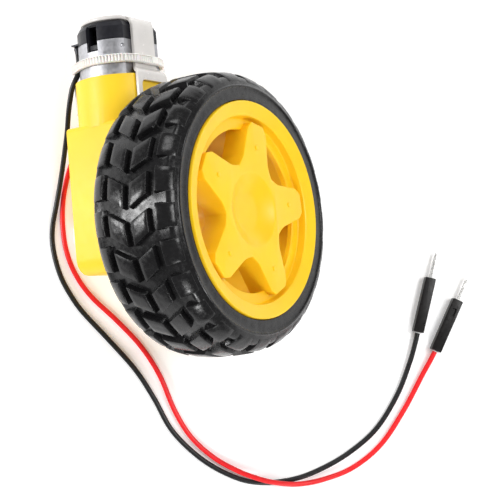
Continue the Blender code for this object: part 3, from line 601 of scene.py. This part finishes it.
# Leads and their housings --------------------------------------------------------------------
def add_lead(colour, route, skin):
    """A lead's insulation along its route, with its first point and length in metres."""
    curve = bpy.data.curves.new(f"{colour}_insulation", "CURVE")
    curve.dimensions = "3D"
    curve.bevel_depth = LEAD_RADIUS * MM
    curve.bevel_resolution = 5
    curve.use_fill_caps = True
    path = smooth_route(route)
    spline = curve.splines.new("POLY")
    spline.points.add(len(path) - 1)
    for point, place in zip(spline.points, path):
        point.co = (*(place * MM), 1)
    spline.use_smooth = True
    lead = bpy.data.objects.new(f"{colour}_flex", curve)
    bpy.context.scene.collection.objects.link(lead)
    lead.matrix_world = TABLE
    curve.materials.append(skin)
    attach(lead, "housing")
    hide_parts(f"{colour}_lead")
    length = sum((b - a).length for a, b in zip(path, path[1:])) * MM
    return lead, TABLE @ (path[0] * MM), length


def add_pin_housing(colour, route, aim, latch_side):
    """A crimp housing: rounded edges, a latch window on one side and the pin's mouth."""
    turn = Matrix.Rotation(math.atan2(aim[1], aim[0]), 4, "Z")
    along = TABLE @ Matrix.Translation(Vector((route[-1][0], route[-1][1], 0)) * MM) @ turn
    half, top = HOUSING_WIDE / 2, HOUSING_LOW + HOUSING_HIGH
    end = HOUSING_START + HOUSING_LONG
    middle = HOUSING_LOW + HOUSING_HIGH / 2
    shell = box((HOUSING_START, -half, HOUSING_LOW), (end, half, top), 0.18)
    bore = PIN_HALF + 0.12
    mouth = box((PIN_FROM - 0.3, -bore, middle - bore), (end + 2, bore, middle + bore))
    cuts = [("DIFFERENCE", mouth)]
    # The latch window: a shallow pocket in one side, with the latch's tongue in it.
    if latch_side == "top":
        pocket = box((end - 4.6, -0.62, top - 0.55), (end - 2.5, 0.62, top + 1))
        tongue = box((end - 6.8, -0.62, top - 0.1), (end - 4.7, 0.62, top + 1))
        cuts += [("DIFFERENCE", pocket), ("DIFFERENCE", tongue)]
    else:
        edges = sorted((latch_side * (half - 0.5), latch_side * (half + 1)))
        pocket = box((end - 9.6, edges[0], middle - 0.62), (end - 8.2, edges[1], middle + 0.62))
        cuts.append(("DIFFERENCE", pocket))
    cap = combined(shell, cuts)
    return add_piece(
        f"{colour}_pin_housing",
        cap,
        "housing",
        [HOUSING],
        along,
        [f"{colour}_connector"],
    )


def add_leads():
    """Both leads, each a cord that ends at its pin housing."""
    for colour, route, aim, latch, skin in (
        ("black", BLACK_ROUTE, BLACK_HOUSING_AIM, -1, BLACK_SKIN),
        ("red", RED_ROUTE, RED_HOUSING_AIM, "top", RED_SKIN),
    ):
        lead, start, length = add_lead(colour, route, skin)
        housing = add_pin_housing(colour, route, aim, latch)


# Tyre ----------------------------------------------------------------------------------------
def tread_curve():
    """The tops' profile as (arc length from the middle, height, radius), for one side."""
    points = [Vector(p) for p in TYRE_ROUNDING]
    fine = smooth_route([(*p, 0) for p in points], 0.25)
    rows, run = [], 0.0
    for before, here in zip([fine[0], *fine], fine):
        run += (here - before).length
        rows.append((run, here.x, here.y))
    return rows


TREAD_CURVE = tread_curve()


def tread_point(arc, turn, sink):
    """A point this far round the tread from its middle line, and this far below its surface."""
    side = 1 if arc >= 0 else -1
    rows = TREAD_CURVE
    reach = min(abs(arc), rows[-1][0])
    index = next(i for i in range(1, len(rows)) if rows[i][0] >= reach - 1e-9)
    low, high = rows[index - 1], rows[index]
    t = (reach - low[0]) / (high[0] - low[0])
    off, radius = low[1] + (high[1] - low[1]) * t, low[2] + (high[2] - low[2]) * t
    slope = Vector((high[1] - low[1], high[2] - low[2])).normalized()
    off += slope.y * sink
    radius -= slope.x * sink
    # Turn is measured from the frame's Z towards its Y.
    return (
        TYRE_MIDDLE + side * off,
        radius * math.sin(turn),
        radius * math.cos(turn),
    )


BLOCK_EDGE = ((-0.4, 1.65), (-0.05, 0.26), (0.0, 0.13), (0.06, 0.04), (0.16, 0.0))


def grid_lines(length, edge, fine):
    """Positions across a block and how deep each sits: its draft, its rounded edge, its top."""
    count = max(1, round((length - 2 * edge[-1][0]) / fine))
    start, end = edge[-1][0], length - edge[-1][0]
    inner = [(start + (end - start) * i / count, 0.0) for i in range(1, count)]
    far = [(length - d, sink) for d, sink in reversed(edge)]
    return list(edge) + inner + far


def add_block(builder, corners, turned_by, side):
    """A raised block over four (arc, degrees) corners, turned by some degrees, on one side."""
    (arc0, t00), (_, t01), (arc1, t10), (_, t11) = [(arc, t + turned_by) for arc, t in corners]
    across = grid_lines(arc1 - arc0, BLOCK_EDGE, 0.8)
    rows = []
    for d, sink_u in across:
        u = d / (arc1 - arc0)
        begin = math.radians(t00 + (t10 - t00) * u)
        finish = math.radians(t01 + (t11 - t01) * u)
        long = (finish - begin) * TREAD_RADIUS
        row = []
        for e, sink_v in grid_lines(long, BLOCK_EDGE, 1.4):
            turn = begin + (finish - begin) * e / long
            arc = side * (arc0 + d) + TREAD_MIDDLE
            row.append(builder.verts.new(tread_point(arc, turn, max(sink_u, sink_v))))
        rows.append(row)
    least = min(len(row) for row in rows)
    for one, other in zip(rows, rows[1:]):
        for i in range(least - 1):
            builder.faces.new((one[i], one[i + 1], other[i + 1], other[i]))
    rim = [row[0] for row in rows] + rows[-1][1:least] + [row[least - 1] for row in rows[-2::-1]]
    rim += rows[0][least - 2 : 0 : -1]
    builder.faces.new(rim)


def add_tyre():
    """Raised blocks on a carcass, in one piece with three kinds of rubber surface."""
    pitch = 360 / TREAD_PITCHES
    builder = bmesh.new()
    last = TREAD_CURVE[-1][0] - SHOULDER_SHORT
    shoulder = [(arc, t) for arc in (SHOULDER_FROM, last) for t in SHOULDER_DEGREES]
    for k in range(TREAD_PITCHES):
        for side in (1, -1):
            add_block(builder, CHEVRON, k * pitch, side)
            add_block(builder, shoulder, k * pitch, side)
    blocks = finished(builder, 40)

    # The carcass: the grooves' floor, the ridge beside the tread, the sidewalls and the seat.
    lip = RIM_OUTER
    floor = [
        (0.0, 32.5),
        (4.0, 32.4),
        (6.6, 32.05),
        (8.0, 31.85),
        (9.0, 31.8),
        (9.8, 31.85),
        (10.3, 31.8),
        (10.7, 31.5),
        (11.1, 31.1),
        (11.5, 30.35),
        (11.7, 29.75),
    ]
    edge = [
        (11.8, 29.6),
        (11.95, 29.5),
        (12.0, 29.32),
        (11.95, 29.14),
        (11.8, 29.05),
        (11.7, 28.85),
        (11.68, 28.0),
        (11.75, 27.0),
        (11.8, 26.4),
        (11.75, 26.1),
        (11.6, 26.0),
    ]
    outer = [(r, TYRE_MIDDLE + off) for off, r in floor + edge]
    inner = [(r, TYRE_MIDDLE - off) for off, r in (floor + edge)[1:]]
    seat = [
        (RIM_RADIUS + SEAT_GAP, RIM_INNER + 1.6),
        (CHANNEL_RADIUS + SEAT_GAP, RIM_INNER + 2.1),
        (CHANNEL_RADIUS + SEAT_GAP, lip - 2.1),
        (RIM_RADIUS + SEAT_GAP, lip - 1.65),
        (RIM_RADIUS + SEAT_GAP, lip - 1.4),
    ]
    profile = outer[::-1] + inner + seat
    carcass = placed(turned(profile, 150, ring=True), ALONG_AXLE)
    builder = bmesh.new()
    builder.from_mesh(carcass)
    middle = TYRE_MIDDLE * MM
    for face in builder.faces:
        centre = face.calc_center_median()
        radius = math.hypot(centre.y, centre.z) / MM
        in_groove = radius > GROOVE_FOOT and abs(centre.x - middle) / MM < GROOVE_REACH
        face.material_index = 1 if in_groove else 2
    builder.from_mesh(blocks)
    whole = bpy.data.meshes.new("tyre_shape")
    builder.to_mesh(whole)
    builder.free()
    whole.shade_smooth()
    whole.set_sharp_from_angle(angle=math.radians(40))
    rubber = [TREAD, GROOVE, SIDEWALL]
    add_piece("treaded_tyre", whole, "output", rubber, LEANING, ["tyre"])


# Wheel rim -----------------------------------------------------------------------------------
def spoke_outline():
    """A five-armed star: round valleys between arms, and arms with flattened tips."""
    points = []
    for spoke in range(SPOKES):
        middle = SPOKE_TURN + 2 * math.pi * spoke / SPOKES
        points.append(polar(STAR_VALLEY, middle - math.pi / SPOKES))
        points += [turned_point(x, -y, middle) for x, y in SPOKE_EDGE]
        points += [turned_point(x, y, middle) for x, y in reversed(SPOKE_EDGE)]
    return points


def pip(turn, base):
    """A low round pip, as an ejector leaves, on the spoke at this turn."""
    r, high = PIP_RADIUS, PIP_HIGH
    profile = [(0, base - 0.4), (r, base - 0.4), (r, base + high * 0.6)]
    profile += [(r * 0.8, base + high * 0.9), (r * 0.4, base + high), (0, base + high)]
    spot = Matrix.Translation(Vector((*polar(PIP_OUT, turn), 0)) * MM)
    return placed(placed(turned(profile, 16), spot), ALONG_AXLE)


def add_rim():
    """The barrel with its conical lip, the star, the hub and the dish in the star's middle."""
    lip = RIM_OUTER
    profile = [
        (22.4, lip - 1.1),
        (22.55, lip - 0.92),
        (22.8, lip - 0.82),
        (RIM_RADIUS - 0.4, lip - 0.06),
        (RIM_RADIUS - 0.25, lip),
        (RIM_RADIUS - 0.1, lip - 0.05),
        (RIM_RADIUS, lip - 0.25),
        (RIM_RADIUS, lip - 1.4),
        (CHANNEL_RADIUS, lip - 1.8),
        (CHANNEL_RADIUS, RIM_INNER + 1.8),
        (RIM_RADIUS, RIM_INNER + 1.4),
        (RIM_RADIUS, RIM_INNER + 0.3),
        (RIM_RADIUS - 0.3, RIM_INNER),
        (22.2, RIM_INNER),
        (22.0, RIM_INNER + 0.2),
        (21.6, lip - 4.6),
        (19.7, lip - 4.6),
        (19.5, lip - 4.4),
        (19.5, lip - 3.25),
        (19.65, lip - 3.1),
        (22.0, lip - 3.1),
        (22.2, lip - 2.9),
    ]
    ring = placed(turned(profile, 120, ring=True), ALONG_AXLE)
    star = plate(softened(spoke_outline(), 0.24), lip - STAR_LOW, lip - STAR_TOP, 0.22)
    hub = [(0, lip - HUB_TOP), (HUB_RADIUS, lip - HUB_TOP), (HUB_RADIUS, HUB_FROM + 0.3)]
    hub += [(HUB_RADIUS - 0.3, HUB_FROM), (0, HUB_FROM)]
    dish = [
        (0, lip),
        (9.5, lip),
        (9.3, lip - 0.95),
        (8.9, lip - 1.05),
        (8.55, lip - 1.25),
        (8.2, lip - 1.6),
        (5.2, lip - 3.1),
        (4.6, lip - 3.28),
        (4.0, lip - 3.3),
        (0, lip - 3.3),
    ]
    steps = [
        ("UNION", placed(star, ALONG_AXLE)),
        ("UNION", placed(turned(hub), ALONG_AXLE)),
        ("DIFFERENCE", placed(turned(dish), ALONG_AXLE)),
    ]
    for spoke in range(SPOKES):
        turn = SPOKE_TURN + 2 * math.pi * spoke / SPOKES
        steps.append(("UNION", pip(turn, lip - STAR_TOP)))
    rim = combined(ring, steps)
    add_piece("spoked_rim", rim, "output", [YELLOW], LEANING, ["wheel_rim"])


# Cable tie -----------------------------------------------------------------------------------
def tie_line():
    """The taut line round the can, the strap's legs and both leads, as (point, outward) pairs."""
    corner = math.sqrt(CAN_RADIUS**2 - CAN_FLAT**2)
    held = [(side * LEAD_PLACE[0], LEAD_PLACE[1], LEAD_RADIUS) for side in (-1, 1)]
    for side in (-1, 1):
        held += [(side * corner, CAN_FLAT, 0), (side * corner, -CAN_FLAT, 0)]
        held += [(side * STRAP_LEG_HALF, end * STRAP_LEG_REACH, 0) for end in (-1, 1)]
    line = []
    for i in range(TIE_STEPS):
        across, outward = polar(1, 2 * math.pi * i / TIE_STEPS)
        on_round = abs(outward) * CAN_RADIUS <= CAN_FLAT
        pieces = held + [(0, 0, CAN_RADIUS)] if on_round else held
        reaches = [x * across + y * outward + radius for x, y, radius in pieces]
        x, y, radius = pieces[reaches.index(max(reaches))]
        reach = radius + TIE_GAP
        line.append((Vector((x + reach * across, y + reach * outward)), Vector((across, outward))))
    return line


def along_line(line, count):
    """This many (point, outward) pairs at even steps along the closed line."""
    closed = line + line[:1]
    runs = [0.0]
    for (here, _), (after, _) in zip(closed, closed[1:]):
        runs.append(runs[-1] + (after - here).length)
    found, index = [], 0
    for i in range(count):
        run = runs[-1] * i / count
        while runs[index + 1] < run:
            index += 1
        t = (run - runs[index]) / max(runs[index + 1] - runs[index], 1e-9)
        (here, out), (after, out_after) = closed[index], closed[index + 1]
        found.append((here.lerp(after, t), out.lerp(out_after, t).normalized()))
    return found


def add_tie():
    """A band with ribs across its outside, its head with the slot, and the tail's cut end."""
    builder = bmesh.new()
    low, high = TIE_FROM, TIE_TO
    edge = 0.24
    loops = []
    points = len(RIB_HEIGHTS)
    for i, (spot, outward) in enumerate(along_line(tie_line(), TIE_RIBS * points)):
        thick = TIE_THICK * (1.0 if i // points in TIE_PLAIN else RIB_HEIGHTS[i % points])
        section = (
            (0.0, low),
            (TIE_THICK * 0.7, low),
            (TIE_THICK, low + edge),
            (thick, low + edge + 0.06),
            (thick, high - edge - 0.06),
            (TIE_THICK, high - edge),
            (TIE_THICK * 0.7, high),
            (0.0, high),
        )
        loop = []
        for t, m in section:
            place = spot + outward * t
            loop.append(builder.verts.new((place.y, place.x, m)))
        loops.append(loop)
    for one, other in zip(loops, loops[1:] + loops[:1]):
        for j in range(len(one)):
            k = (j + 1) % len(one)
            builder.faces.new((one[j], one[k], other[k], other[j]))
    # The loops are (axle, outward, motor) so far; the frame's order is (axle, motor, outward).
    swap = Matrix(((1, 0, 0), (0, 0, 1), (0, 1, 0))).to_4x4()
    bmesh.ops.transform(builder, matrix=swap, verts=builder.verts)
    band = finished(builder, 25)
    middle = (low + high) / 2
    head = box((-0.7, middle - 2.2, -14.2), (3.7, middle + 2.2, -10.9), 0.35)
    slot = box((0.8, middle - 1.2, -15.0), (2.2, middle + 1.2, -12.9))
    head = combined(head, [("DIFFERENCE", slot)])
    tail = box((0.95, low + 0.1, -16.4), (1.95, high - 0.1, -12.5), 0.12)
    builder = bmesh.new()
    for mesh in (band, head, tail):
        builder.from_mesh(mesh)
    whole = bpy.data.meshes.new("tie_shape")
    builder.to_mesh(whole)
    builder.free()
    whole.shade_smooth()
    whole.set_sharp_from_angle(angle=math.radians(25))
    add_piece("ribbed_tie", whole, "housing", [TIE], LEANING, ["cable_tie"])


# Pieces remade from CAD nodes, and nodes that stay ---------------------------------------------
def shaded(mesh, angle):
    """The mesh smooth all over, apart from its edges that turn by more than this many degrees."""
    mesh.shade_smooth()
    builder = bmesh.new()
    builder.from_mesh(mesh)
    for edge in builder.edges:
        edge.smooth = edge.calc_face_angle(math.pi) < math.radians(angle)
    builder.to_mesh(mesh)
    builder.free()
    return mesh


def recast(node, name, body, material, edge=0.0, cuts=()):
    """A piece with the node's shape, its flats whole, its rounds smooth and its edges rounded."""
    builder = bmesh.new()
    builder.from_mesh(frame["nodes"][node].data)
    bmesh.ops.remove_doubles(builder, verts=builder.verts, dist=1e-6)
    bmesh.ops.dissolve_limit(
        builder, angle_limit=math.radians(0.5), verts=builder.verts, edges=builder.edges
    )
    mesh = bpy.data.meshes.new("shape")
    builder.to_mesh(mesh)
    builder.free()
    if cuts:
        mesh = combined(mesh, [("DIFFERENCE", placed(cutter, LEANING)) for cutter in cuts])
    piece = add_piece(name, shaded(mesh, 28), body, [material], Matrix.Identity(4), [node])
    if edge:
        bevel = piece.modifiers.new("edges", "BEVEL")
        bevel.width = edge * MM
        bevel.segments = 3
        bevel.limit_method = "ANGLE"
        bevel.angle_limit = math.radians(35)
        bevel.harden_normals = True
    return piece


def crimp(across, outward, along):
    """A small punched mark on the can's round side."""
    mark = turned([(0, 0.4), (0.45, 0.4), (0.45, -0.22), (0.25, -0.32), (0, -0.34)], 16)
    turn = math.atan2(outward, across)
    aim = Matrix.Rotation(-turn, 4, "Y") @ Matrix.Rotation(math.pi / 2, 4, "Y")
    reach = CAN_RADIUS * MM
    spot = Matrix.Translation((reach * math.cos(turn), along * MM, reach * math.sin(turn)))
    return placed(mark, spot @ aim)


def add_motor():
    """The can with its punched marks, and the end bell with a slot on each round side."""
    marks = [crimp(x, y, CRIMP_ALONG) for x in (-7.2, 7.2) for y in (-6.9, 6.9)]
    recast("motor_can", "drawn_can", "housing", CAN, 0.16, marks)
    slots = [
        box(
            (-SLOT_HALF, SLOT_FROM, side * SLOT_MIDDLE - SLOT_DEEP),
            (SLOT_HALF, SLOT_TO, side * SLOT_MIDDLE + SLOT_DEEP),
        )
        for side in (1, -1)
    ]
    recast("motor_end_bell", "moulded_bell", "housing", BELL, 0.3, slots)


def add_gearbox():
    """The gearbox's two halves and the output shaft, with rounded edges."""
    recast("gearbox_base", "moulded_base", "housing", GEARBOX, 0.35)
    recast("gearbox_cover", "moulded_cover", "housing", GEARBOX, 0.3)
    recast("output_shaft", "moulded_shaft", "output", NYLON, 0.15)


# Strap: outer line as (axle distance, motor distance, half width), from the middle of its cap.
STRAP_LINE = (
    (0.0, 52.25, 4.1),
    (4.0, 52.25, 4.1),
    (6.3, 52.22, 4.1),
    (7.2, 52.0, 4.1),
    (7.95, 51.5, 4.1),
    (8.45, 50.8, 4.1),
    (8.68, 49.9, 4.1),
    (8.7, 48.5, 4.1),
    (8.7, 44.0, 4.1),
    (8.7, 40.2, 4.1),
    (8.72, 39.6, 4.2),
    (8.85, 39.1, 4.5),
    (9.3, 38.65, 4.95),
    (9.95, 38.3, 5.3),
    (10.4, 37.8, 5.55),
    (10.55, 37.2, 5.68),
    (10.55, 36.0, 5.7),
    (10.55, 33.0, 5.7),
    (10.55, 30.1, 5.7),
    (10.5, 29.6, 5.45),
    (10.35, 29.4, 5.1),
)


def strap_band():
    """One closed band over the cap and down both sides, with its long edges rounded."""
    half = [Vector(p) for p in STRAP_LINE]
    line = [Vector((-p.x, p.y, p.z)) for p in half[:0:-1]] + half
    builder = bmesh.new()
    sections = []
    for i, here in enumerate(line):
        before, after = line[max(i - 1, 0)], line[min(i + 1, len(line) - 1)]
        way = Vector((after.x - before.x, after.y - before.y)).normalized()
        inward = Vector((way.y, -way.x))
        round_off = 0.16
        section = []
        for side, depth, inset in (
            (1, 0.0, round_off),
            (1, round_off, 0.0),
            (1, STRAP_THICK - round_off, 0.0),
            (1, STRAP_THICK, round_off),
            (-1, STRAP_THICK, round_off),
            (-1, STRAP_THICK - round_off, 0.0),
            (-1, round_off, 0.0),
            (-1, 0.0, round_off),
        ):
            across = side * (here.z - inset)
            spot = (here.x + inward.x * depth, here.y + inward.y * depth, across)
            section.append(builder.verts.new(spot))
        sections.append(section)
    for one, other in zip(sections, sections[1:]):
        for j in range(8):
            k = (j + 1) % 8
            builder.faces.new((one[j], one[k], other[k], other[j]))
    builder.faces.new(sections[0])
    builder.faces.new(sections[-1])
    return finished(builder, 35)


def add_strap():
    """The band, the cap over the motor's end, and the window in each leg for the collar's hook."""
    radius, flat = CAN_RADIUS - 0.9, CAN_FLAT - 0.9
    reach = math.asin(flat / radius)
    cap_outline = []
    for side in (1, -1):
        for i in range(25):
            x, y = polar(radius, -reach + 2 * reach * i / 24)
            cap_outline.append((side * x, side * y))
    top = STRAP_LINE[0][1]
    cap = placed(plate(cap_outline, top - STRAP_THICK, top, 0.3), ALONG_MOTOR)
    window = softened([(30.9, -4.4), (35.6, -4.4), (35.6, 4.4), (30.9, 4.4)], 1.3)
    hole = placed(plate(window, -14, 14), ALONG_AXLE)
    strap = combined(strap_band(), [("UNION", cap), ("DIFFERENCE", hole)])
    add_piece(
        "clear_strap", strap, "housing", [MILKY], LEANING, ["retaining_strap"]
    )


def add_solder():
    """A lump of solder over each lead's bared end, on its terminal."""
    for colour, side in (("black", 1), ("red", -1)):
        profile = [(0, 1.3), (0.45, 1.2), (0.75, 0.8), (0.85, 0.2)]
        profile += [(0.72, -0.5), (0.66, -1.0), (0, -1.0)]
        lump = turned(profile, 24)
        spot = Matrix.Translation(Vector((-8.35, 46.2, side * 5.85)) * MM)
        upright = Matrix.Rotation(-math.pi / 2, 4, "X")
        add_piece(
            f"{colour}_solder", placed(lump, spot @ upright), "housing", [SOLDER]
        )


def dress(node, material):
    """Gives a node that stays as it is its material."""
    part = frame["nodes"][node]
    part.data.materials.clear()
    part.data.materials.append(material)


def dress_nodes():
    """Materials for the nodes that stay as they are."""
    for number in range(1, 5):
        dress(f"cover_screw_{number}", STEEL)
    for name in ("front_bush", "rear_bush"):
        dress(name, BRONZE)
    for name in ("magnet_upper", "magnet_lower"):
        dress(name, FERRITE)
    for name in ("motor_shaft", "gear_pin", "armature_core", "motor_pinion"):
        dress(name, STEEL)
    for name in ("commutator", "winding_1", "winding_2", "winding_3"):
        dress(name, COPPER)
    for name in ("crown_gear", "second_gear", "third_gear", "output_gear"):
        dress(name, NYLON)
    for colour in ("black", "red"):
        dress(f"{colour}_lead_terminal", SOLDER)
        dress(f"{colour}_connector_pin", PIN)


# Camera, floor and light ---------------------------------------------------------------------
def add_camera():
    """The view: from almost straight above, a third of a metre away."""
    lens = bpy.data.cameras.new("view")
    lens.sensor_width = 36
    lens.lens = 91.44
    lens.clip_start, lens.clip_end = 0.01, 10
    camera = bpy.data.objects.new("view", lens)
    bpy.context.scene.collection.objects.link(camera)
    right = Vector((0.99264955, -0.08589, 0.0852143))
    up = Vector((0.08050837, 0.99465, 0.06465525))
    back = Vector((-0.09031899, -0.05732, 0.99425894))
    place = AXLE + Vector((0.093, -26.45, 320.134)) * MM
    turn = Matrix((right, up, back)).transposed().to_4x4()
    camera.matrix_world = Matrix.Translation(place) @ turn
    bpy.context.scene.camera = camera


def add_floor():
    """A wide pale floor, lit a little from within so that shadows stay faint."""
    builder = bmesh.new()
    bmesh.ops.create_grid(builder, x_segments=8, y_segments=8, size=2000)
    floor = bpy.data.objects.new("floor", finished(builder))
    bpy.context.scene.collection.objects.link(floor)
    pale = Shader("pale_floor", (0.97, 0.97, 0.97), 0.8)
    pale.vary_colour(0.01, 0.995, 1.005)
    pale.set("Emission Color", (1, 1, 1, 1))
    pale.set("Emission Strength", 0.16)
    floor.data.materials.append(pale.material)
    floor.location.z = -0.02 * MM


def add_light(name, place, size, energy, target=(0, 0, 0.02)):
    """A rectangular lamp that faces its target."""
    lamp = bpy.data.lights.new(name, "AREA")
    lamp.shape = "RECTANGLE"
    lamp.size, lamp.size_y = size
    lamp.energy = energy
    light = bpy.data.objects.new(name, lamp)
    bpy.context.scene.collection.objects.link(light)
    light.location = place
    aim = Vector(target) - Vector(place)
    light.rotation_euler = aim.to_track_quat("-Z", "Y").to_euler()


def add_lights():
    """A dim sky and four lamps."""
    world = bpy.data.worlds.new("studio")
    world.use_nodes = True
    back = world.node_tree.nodes["Background"]
    back.inputs["Color"].default_value = (1, 1, 1, 1)
    back.inputs["Strength"].default_value = 0.32
    bpy.context.scene.world = world
    add_light("left", (-0.85, 0.06, 0.34), (0.27, 0.3), 6.0)
    add_light("right", (0.55, 0.1, 0.85), (0.4, 0.4), 5.5)
    add_light("front", (0.1, -0.75, 0.5), (0.25, 0.2), 3.4)
    add_light("rear", (-0.05, 0.75, 0.6), (0.5, 0.3), 2.8)
    bpy.context.scene.view_settings.view_transform = "Standard"


add_camera()
add_floor()
add_lights()
add_leads()
add_tyre()
add_rim()
add_tie()
add_motor()
add_gearbox()
add_strap()
add_solder()
dress_nodes()
